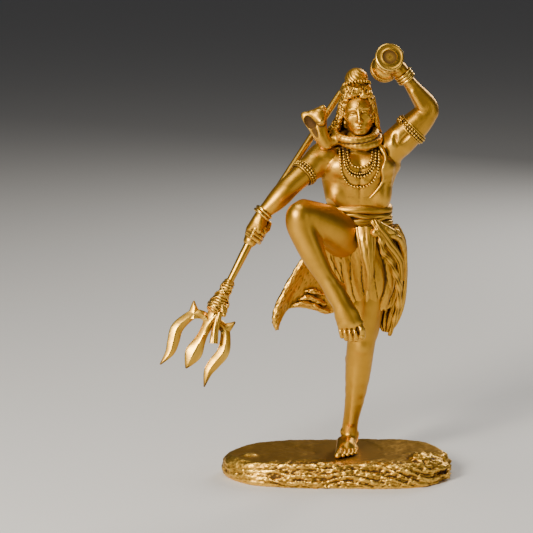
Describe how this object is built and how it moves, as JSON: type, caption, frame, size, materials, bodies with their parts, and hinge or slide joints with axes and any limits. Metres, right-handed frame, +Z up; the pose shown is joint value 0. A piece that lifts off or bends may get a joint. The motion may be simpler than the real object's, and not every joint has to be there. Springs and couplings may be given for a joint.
{
  "type": "nataraja statue",
  "caption": "Cast brass dancer poised on the standing leg over a rock base, knee lifted, raised arm holding an hourglass drum and lowered arm holding a trident.",
  "frame": {"origin": "on the rock base's flat underside, midway along its length and under the figure's standing foot and hips", "axes": "+Z up, -Y the way the figure faces, +X towards the figure's own left, the side of the raised drum"},
  "size_m": [0.2191, 0.0845, 0.3264],
  "materials": {
    "antique_brass": "satin cast brass with dark patina in the recesses",
    "polished_brass": "hand-polished brass with dark patina in the recesses",
    "rock_brass": "rough cast brass, dark patina, worn bright on the edges",
    "fixing_steel": "zinc-plated steel"
  },
  "bodies": {
    "statue": {"rock_base": "rock_brass", "fixing_bolt": "fixing_steel", "fixing_washer": "fixing_steel", "torso": "antique_brass", "standing_leg": "antique_brass", "raised_leg": "antique_brass", "head": "antique_brass", "hair_cap": "antique_brass", "topknot": "antique_brass", "topknot_beads": "polished_brass", "hair_back": "antique_brass", "hair_lock_right": "antique_brass", "hair_lock_left": "antique_brass", "right_arm": "antique_brass", "right_hand": "antique_brass", "left_arm": "antique_brass", "left_hand": "antique_brass", "right_armband": "polished_brass", "left_armband": "polished_brass", "right_bangle": "polished_brass", "left_bangle": "polished_brass", "cobra": "antique_brass", "mala_inner": "polished_brass", "mala_middle": "polished_brass", "mala_outer": "polished_brass", "waist_sash": "antique_brass", "tiger_skin_wrap": "antique_brass", "tiger_skin_flare": "antique_brass", "tiger_paw_flap": "antique_brass", "side_drape": "antique_brass", "sash_knot": "antique_brass", "sash_end_short": "antique_brass", "sash_end_long": "antique_brass", "upper_staff": "polished_brass", "drum_body": "polished_brass", "drum_skin_front": "polished_brass", "drum_skin_back": "polished_brass", "drum_waist_cord": "polished_brass"},
    "shaft": {"trident_shaft": "polished_brass"},
    "fork": {"trident_binding": "polished_brass", "trident_head": "polished_brass", "trident_tie": "polished_brass"}
  },
  "joints": [
    {"name": "trident_pull", "type": "slide", "parent": "statue", "child": "shaft", "axis": [-0.4465, -0.283, -0.8489], "range_m": [0, 0.03]},
    {"name": "trident_spin", "type": "hinge", "parent": "shaft", "child": "fork", "pos_m": [-0.0615, -0.02, 0.19], "axis": [-0.4465, -0.283, -0.8489], "continuous": true}
  ]
}
